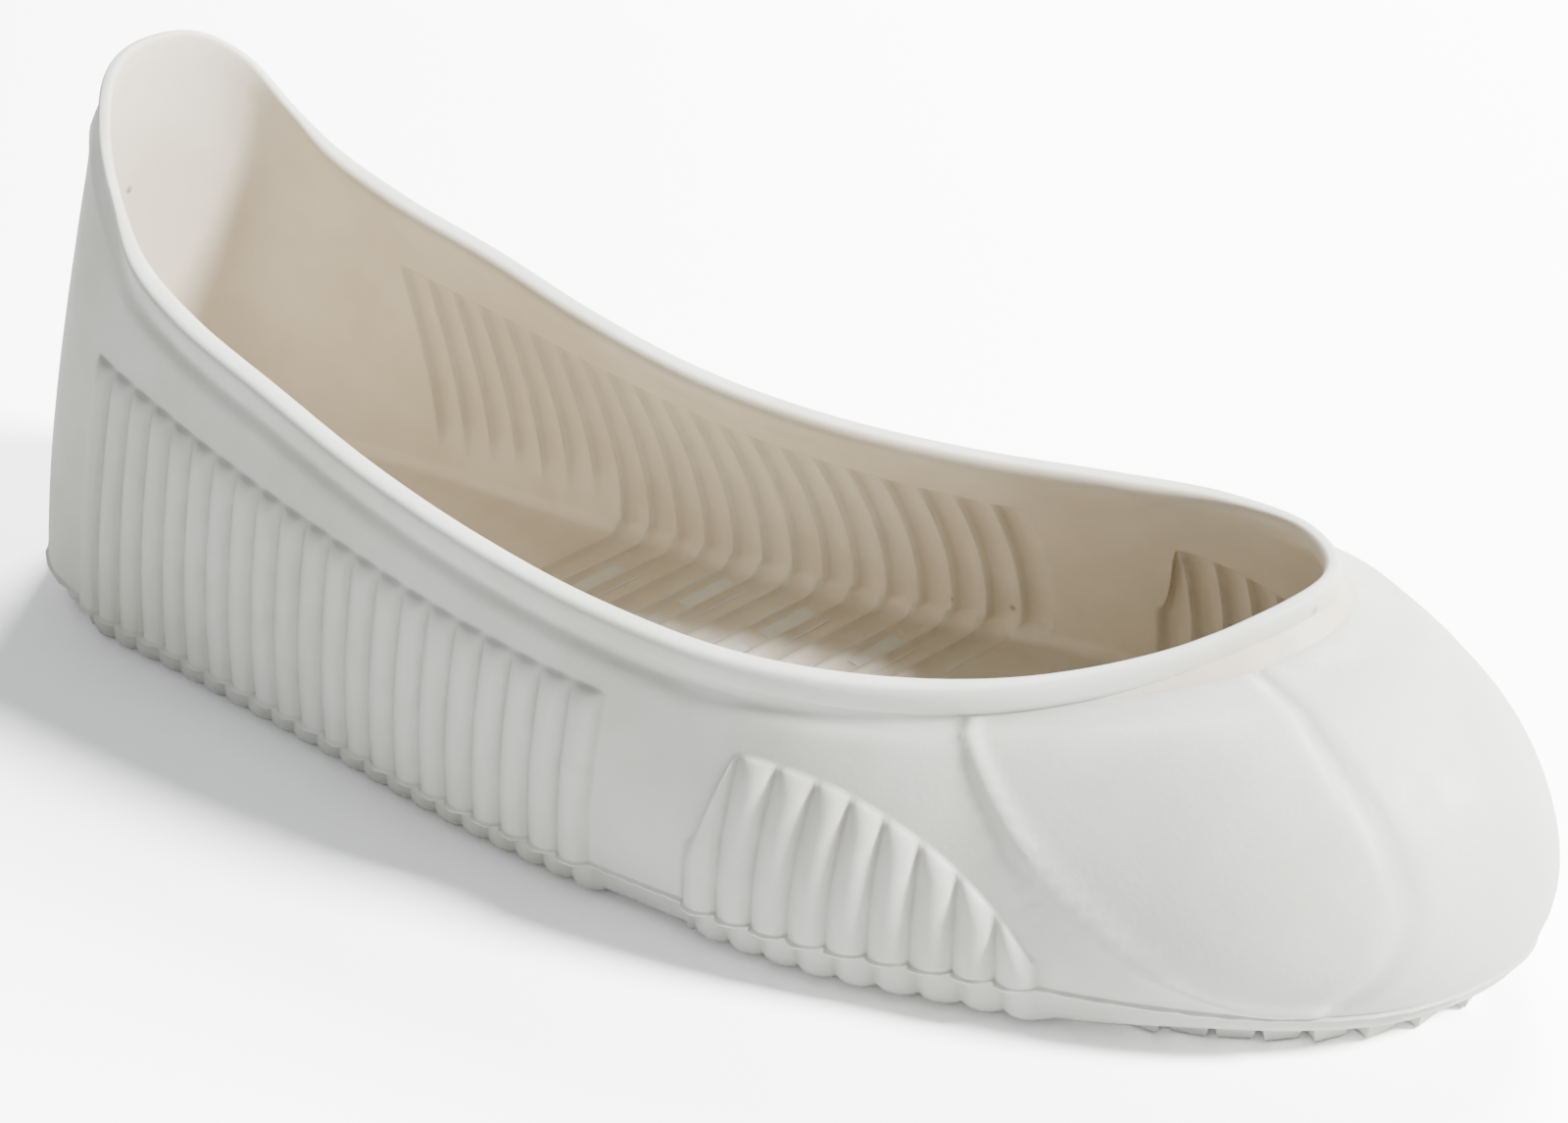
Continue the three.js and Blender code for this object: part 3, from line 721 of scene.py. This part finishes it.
def toe_lugs():
    places, turns, scales = [], [], []
    hub = middle(np.array([TOE_CENTRE_SOLE]), foot_outline)
    for inset, number, widest, scale in TOE_LUGS:
        for turn in np.radians(np.linspace(-widest, widest, number)):
            spoke = rib_direction(np.array([turn]))
            places.append((reach(hub, spoke, foot_outline) - spoke * inset)[0])
            turns.append(turn)
            scales.append(scale)
    return np.array(places), np.array(turns), np.array(scales)


# %% One lug
def lug_mesh():
    made = bpy.data.meshes.new("one_lug")
    half = np.array([LUG["width"], LUG["length"]]) / 2
    levels = [(0.0, LUG["taper"] + LUG_SOFT_EDGE), (LUG_SOFT_EDGE, LUG["taper"]), (LUG_ROOT, 0.0)]
    verts = [(sx * (half[0] - cut), sy * (half[1] - cut), z)
             for z, cut in levels for sx, sy in ((-1, -1), (1, -1), (1, 1), (-1, 1))]
    sides = [(4 * n + k, 4 * n + (k + 1) % 4, 4 * n + 4 + (k + 1) % 4, 4 * n + 4 + k)
             for n in range(2) for k in range(4)]
    made.from_pydata((np.array(verts) * MM).tolist(), [], [(3, 2, 1, 0), *sides, (8, 9, 10, 11)])
    return made


# %% Scatter the lugs
rows_of_lugs = row_lugs()
ring_places, ring_turns, ring_scales = toe_lugs()
places = np.concatenate([rows_of_lugs, ring_places])
places[:, 2] = 0
scatter = bpy.data.meshes.new("lug_places")
scatter.from_pydata((places * MM).tolist(), [], [])
for name, ring, plain in (("lug_turn", ring_turns, 0.0), ("lug_scale", ring_scales, 1.0)):
    data = np.concatenate([np.full(len(rows_of_lugs), plain), ring])
    scatter.attributes.new(name, "FLOAT", "POINT").data.foreach_set("value", data.astype(np.float32))
tread = new_object("overshoe_tread", scatter)
one_lug = new_object("one_lug", lug_mesh())

# %% Build the lug tree and run it
lug_tree = geometry_tree("lugs", {
    "Lug": "NodeSocketObject",
    "Skew": "NodeSocketFloat",
    "Material": "NodeSocketMaterial",
})
t = Tree(lug_tree)
given = t.node("NodeGroupInput").outputs
shape = t.node("GeometryNodeObjectInfo", {"Object": given["Lug"]}).outputs["Geometry"]
turn = t.math("SUBTRACT", read("lug_turn"), given["Skew"])
spin = t.node("ShaderNodeCombineXYZ", {"Z": turn}).outputs[0]
wide = read("lug_scale")
size = t.node("ShaderNodeCombineXYZ", {"X": wide, "Y": wide, "Z": 1.0}).outputs[0]
copies = t.node("GeometryNodeInstanceOnPoints",
                {"Points": given["Geometry"], "Instance": shape, "Rotation": spin, "Scale": size})
real = t.node("GeometryNodeRealizeInstances", {"Geometry": copies.outputs[0]})
painted = t.node("GeometryNodeSetMaterial", {"Geometry": real.outputs[0], "Material": given["Material"]})
t.node("NodeGroupOutput", {"Geometry": painted.outputs[0]})
run_tree(tread, lug_tree, {"Lug": one_lug, "Skew": RIB_SKEW, "Material": rubber})
bpy.data.objects.remove(one_lug)
print("lugs:", len(places))

# %% [markdown]
# ## Hand both to the frame
# Skin and tread are one moulding, so both ride with the solid model's only body and both take
# its rubber. The skin stands for the solid node, which then isn't shown.

# %% Tell the frame
for piece in (skin, tread):
    piece.data.materials.clear()
    piece.data.materials.append(rubber)
    piece.data.shade_smooth()
    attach(piece, "root")
tread.data.shade_flat()
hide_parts(SHELL_NODE)
low_z = min(v.co.z for v in skin.data.vertices)
print("lowest point of the skin", round(low_z / MM, 2), "mm")

# %% [markdown]
# ## Effects for the rubber
# Matt rubber is never one even white. The mould leaves a fine grain, pigment and age make
# slow patches, and specks of dirt stick to it. Each of these is a shader group that puts out a mask
# or a height, so any other material could use it too. The rib valleys get painted shade in the material.

# %% Shader groups
def shader_group(name, inputs, outputs):
    group = bpy.data.node_groups.new(name, "ShaderNodeTree")
    for label, kind, default in inputs:
        socket = group.interface.new_socket(label, in_out="INPUT", socket_type=kind)
        if default is not None:
            socket.default_value = default
    for label, kind in outputs:
        group.interface.new_socket(label, in_out="OUTPUT", socket_type=kind)
    t = Tree(group)
    return group, t, t.node("NodeGroupInput").outputs


def noise(t, place, scale, detail, roughness=0.5):
    return t.node("ShaderNodeTexNoise", {"Vector": place, "Scale": scale, "Detail": detail,
                                         "Roughness": roughness}).outputs[0]


def ramp(t, value, low, high):
    return t.node("ShaderNodeMapRange", {"Value": value, "From Min": low, "From Max": high},
                  interpolation_type="SMOOTHSTEP").outputs[0]


FLOAT, VECTOR = "NodeSocketFloat", "NodeSocketVector"
grain, t, given = shader_group("mould_grain", [("Place", VECTOR, None), ("Size", FLOAT, 900.0)],
                               [("Height", FLOAT)])
fine = noise(t, given["Place"], given["Size"], 3.0)
broad = noise(t, given["Place"], t.math("MULTIPLY", given["Size"], 0.12), 2.0)
t.node("NodeGroupOutput", {"Height": t.math("ADD", t.math("MULTIPLY", fine, 0.5), broad)})

patches, t, given = shader_group("pigment_patches", [("Place", VECTOR, None), ("Size", FLOAT, 22.0)],
                                 [("Mask", FLOAT), ("Fine", FLOAT)])
slow = ramp(t, noise(t, given["Place"], given["Size"], 4.0, 0.6), 0.35, 0.65)
quick = ramp(t, noise(t, given["Place"], t.math("MULTIPLY", given["Size"], 9.0), 3.0), 0.3, 0.7)
t.node("NodeGroupOutput", {"Mask": slow, "Fine": quick})

specks, t, given = shader_group("dust_specks", [("Place", VECTOR, None), ("Size", FLOAT, 95.0),
                                                ("Reach", FLOAT, 0.11)], [("Mask", FLOAT)])
cell = t.node("ShaderNodeTexVoronoi", {"Vector": given["Place"], "Scale": given["Size"]})
near = ramp(t, cell.outputs["Distance"], given["Reach"], t.math("MULTIPLY", given["Reach"], 0.3))
rare = ramp(t, noise(t, given["Place"], 31.0, 2.0), 0.62, 0.7)
t.node("NodeGroupOutput", {"Mask": t.math("MULTIPLY", near, rare)})
print("effects:", grain.name, patches.name, specks.name)

# %% [markdown]
# ## The rubber
# Outside, the rubber is a cool, slightly green white. Inside it is given a warm beige. A little
# light goes into the skin before it comes out again, which softens every edge, and the surface
# shines only faintly.

# %% Material
OUTSIDE = (0.62, 0.63, 0.59, 1)
OUTSIDE_AGED = (0.54, 0.54, 0.485, 1)
INSIDE = (0.62, 0.57, 0.475, 1)
INSIDE_AGED = (0.55, 0.49, 0.39, 1)
# painted shade: the colour that the rib valleys are darkened toward
PAINTED_VALLEY_SHADE = (0.40, 0.39, 0.34, 1)
SPECK = (0.17, 0.14, 0.10, 1)

# %% Nodes of the rubber
# how strongly the rib valleys are darkened with painted shade
VALLEY_SHADE_STRENGTH = 0.6
SHINE_LEAST, SHINE_SPREAD = 0.46, 0.12

rubber.use_nodes = True
rubber.node_tree.nodes.clear()
t = Tree(rubber.node_tree)
place = t.node("ShaderNodeTexCoord").outputs["Object"]
facing_in = t.node("ShaderNodeAttribute", attribute_name="inside").outputs["Fac"]
rib_height = t.node("ShaderNodeAttribute", attribute_name="rib_height").outputs["Fac"]
rib_share = t.node("ShaderNodeAttribute", attribute_name="rib_mask").outputs["Fac"]


def use(group, **inputs):
    return t.node("ShaderNodeGroup", {"Place": place, **inputs}, node_tree=group).outputs


def blend(share, a, b):
    made = t.node("ShaderNodeMix", data_type="RGBA")
    for socket, value in ((made.inputs[0], share), (made.inputs[6], a), (made.inputs[7], b)):
        if isinstance(value, bpy.types.NodeSocket):
            t.tree.links.new(value, socket)
        else:
            socket.default_value = value
    return made.outputs[2]


patch = use(patches)
outside = blend(patch["Mask"], OUTSIDE, OUTSIDE_AGED)
within = blend(patch["Mask"], INSIDE, INSIDE_AGED)
colour = blend(facing_in, outside, within)
# painted shade: the rib valleys are darkened most at their bottoms, unevenly by the fine patches
valley_shade = t.math("MULTIPLY", t.math("SUBTRACT", rib_share, rib_height), VALLEY_SHADE_STRENGTH)
valley_shade = t.math("MULTIPLY", valley_shade, t.math("ADD", t.math("MULTIPLY", patch["Fine"], 0.5), 0.5))
colour = blend(t.math("MAXIMUM", valley_shade, 0.0), colour, PAINTED_VALLEY_SHADE)
dirt = use(specks)["Mask"]
colour = blend(dirt, colour, SPECK)
shine = t.math("ADD", t.math("MULTIPLY", patch["Fine"], SHINE_SPREAD), SHINE_LEAST)
bump = t.node("ShaderNodeBump", {"Height": use(grain)["Height"], "Strength": 0.25, "Distance": 0.0004})
body = t.node("ShaderNodeBsdfPrincipled", {
    "Base Color": colour,
    "Roughness": shine,
    "Normal": bump.outputs[0],
    "IOR": 1.47,
    "Specular IOR Level": 0.42,
    "Subsurface Weight": 0.12,
    "Subsurface Radius": (1.0, 0.9, 0.75),
    "Subsurface Scale": 0.002,
})
t.node("ShaderNodeOutputMaterial", {"Surface": body.outputs[0]})
print("nodes in the rubber:", len(rubber.node_tree.nodes))

# %% [markdown]
# ## Table, light and camera
# The overshoe stands on a pale flat sheet of paper. The key light works from the toe and above,
# so it rakes along the wall and draws every rib. A second one from the inner side throws the
# shadow toward the viewer, a faint one fills the outer wall, and the paper throws light back.
# The camera looks down on the outer wall, from a little toward the toe, with a long lens.

# %% Stage
PAPER_SIZE = 6.0
PAPER_DEPTH = -0.0003        # a hair under the lugs, so that the two never share a plane
PAPER_WHITE = 0.8
PAPER_SEEN = 2.0             # whiteness that the camera alone sees, as if the paper had its own lamp
CAMERA_PLACE = (-0.3635, -0.2411, 0.3082)
CAMERA_TARGET = (0.0531, 0.0225, 0.0)
CAMERA_LENS = 68.24
LIGHTS = [  # name, place, size, power
    ("key", (0.4, -1.1, 0.9), 0.32, 105.0),
    ("side", (1.0, 0.2, 0.95), 0.55, 50.0),
    ("fill", (-1.3, 0.3, 0.6), 1.2, 2.0),
]


def turned_to(place, target):
    return (Vector(target) - Vector(place)).to_track_quat("-Z", "Y").to_euler()


paper_mesh = bpy.data.meshes.new("paper")
half = PAPER_SIZE / 2
corners = ((-half, -half), (half, -half), (half, half), (-half, half))
paper_mesh.from_pydata([(x, y, PAPER_DEPTH) for x, y in corners], [], [(0, 1, 2, 3)])
paper = new_object("paper", paper_mesh)
paper_look = bpy.data.materials.new("paper")
paper_look.use_nodes = True
paper_look.node_tree.nodes.clear()
t = Tree(paper_look.node_tree)
seen = t.node("ShaderNodeLightPath").outputs["Is Camera Ray"]
level = t.math("ADD", t.math("MULTIPLY", seen, PAPER_SEEN - PAPER_WHITE), PAPER_WHITE)
sheet = t.node("ShaderNodeBsdfDiffuse", {"Color": level})
t.node("ShaderNodeOutputMaterial", {"Surface": sheet.outputs[0]})
paper_mesh.materials.append(paper_look)

# %% Lights
for name, place, size, power in LIGHTS:
    data = bpy.data.lights.new(name, "AREA")
    data.shape = "DISK"
    data.size = size
    data.energy = power
    light = new_object(name, data)
    light.location = place
    light.rotation_euler = turned_to(place, (0, 0, 0.04))

# %% World and camera
world = bpy.data.worlds.new("studio")
bpy.context.scene.world = world
world.use_nodes = True
world.node_tree.nodes["Background"].inputs["Color"].default_value = (0.93, 0.95, 1.0, 1)
world.node_tree.nodes["Background"].inputs["Strength"].default_value = 0.33

camera_data = bpy.data.cameras.new("camera")
camera_data.lens = CAMERA_LENS
camera_data.sensor_width = 36.0
camera = new_object("camera", camera_data)
camera.location = CAMERA_PLACE
camera.rotation_euler = turned_to(CAMERA_PLACE, CAMERA_TARGET)
bpy.context.scene.camera = camera
print("camera looks from", CAMERA_PLACE)
